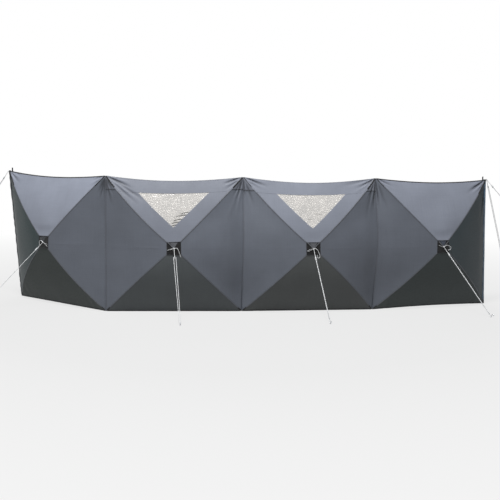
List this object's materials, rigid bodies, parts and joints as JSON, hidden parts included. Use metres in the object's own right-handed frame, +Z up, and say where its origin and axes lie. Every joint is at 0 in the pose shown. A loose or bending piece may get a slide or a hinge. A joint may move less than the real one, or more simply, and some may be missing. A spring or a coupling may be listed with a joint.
{
  "type": "beach windbreak",
  "caption": "Free-standing hub-frame windbreak screen: square cloth bays joined at folds, each held in a shallow pyramid by bowed poles, with guys and pegs.",
  "frame": {"origin": "on the ground under the middle fold, at the foot of its fold tape", "axes": "+Z up; +X along the screen to the right as seen from the front; the hubs push out to the front, -Y"},
  "size_m": [7.5431, 3.0031, 1.45],
  "materials": {
    "cloth_light": "coated polyester, light grey",
    "cloth_mid": "coated polyester, mid grey",
    "cloth_dark": "coated polyester, charcoal",
    "window_film": "clear flexible film, slightly crinkled",
    "webbing_black": "black webbing and binding",
    "hub_plastic": "moulded black nylon",
    "pole_fibre": "glass-fibre rod, satin",
    "guy_cord": "braided white cord",
    "peg_steel": "zinc-plated wire"
  },
  "bodies": {
    "bay_1": {"panel_top_1": "cloth_light", "panel_right_1": "cloth_mid", "panel_bottom_1": "cloth_dark", "panel_left_1": "cloth_mid", "hub_1": "hub_plastic", "poles_1": "pole_fibre", "pole_pockets_1": "webbing_black", "hub_patch_1": "webbing_black", "guys_1": "guy_cord", "guy_tail_1": "guy_cord", "pegs_1": "peg_steel"},
    "bay_2": {"panel_top_2": "cloth_light", "panel_right_2": "cloth_mid", "panel_bottom_2": "cloth_dark", "panel_left_2": "cloth_mid", "window_2": "window_film", "hub_2": "hub_plastic", "poles_2": "pole_fibre", "pole_pockets_2": "webbing_black", "hub_patch_2": "webbing_black", "guys_2": "guy_cord", "guy_tail_2": "guy_cord", "pegs_2": "peg_steel", "fold_tape_1": "webbing_black", "fold_tape_2": "webbing_black"},
    "bay_3": {"panel_top_3": "cloth_light", "panel_right_3": "cloth_mid", "panel_bottom_3": "cloth_dark", "panel_left_3": "cloth_mid", "window_3": "window_film", "hub_3": "hub_plastic", "poles_3": "pole_fibre", "pole_pockets_3": "webbing_black", "hub_patch_3": "webbing_black", "guys_3": "guy_cord", "guy_tail_3": "guy_cord", "pegs_3": "peg_steel", "fold_tape_3": "webbing_black"},
    "bay_4": {"panel_top_4": "cloth_light", "panel_right_4": "cloth_mid", "panel_bottom_4": "cloth_dark", "panel_left_4": "cloth_mid", "hub_4": "hub_plastic", "poles_4": "pole_fibre", "pole_pockets_4": "webbing_black", "hub_patch_4": "webbing_black", "guys_4": "guy_cord", "guy_tail_4": "guy_cord", "pegs_4": "peg_steel"}
  },
  "joints": [
    {"name": "fold_left", "type": "hinge", "parent": "bay_2", "child": "bay_1", "pos_m": [-1.40414, 0.04903, 0], "axis": [0, 0, -1], "range_deg": [-102, 18]},
    {"name": "fold_middle", "type": "hinge", "parent": "bay_2", "child": "bay_3", "pos_m": [0, 0, 0], "axis": [0, 0, 1], "range_deg": [-64, 56]},
    {"name": "fold_right", "type": "hinge", "parent": "bay_3", "child": "bay_4", "pos_m": [1.40414, 0.04903, 0], "axis": [0, 0, 1], "range_deg": [-71.5, 48.5]}
  ]
}
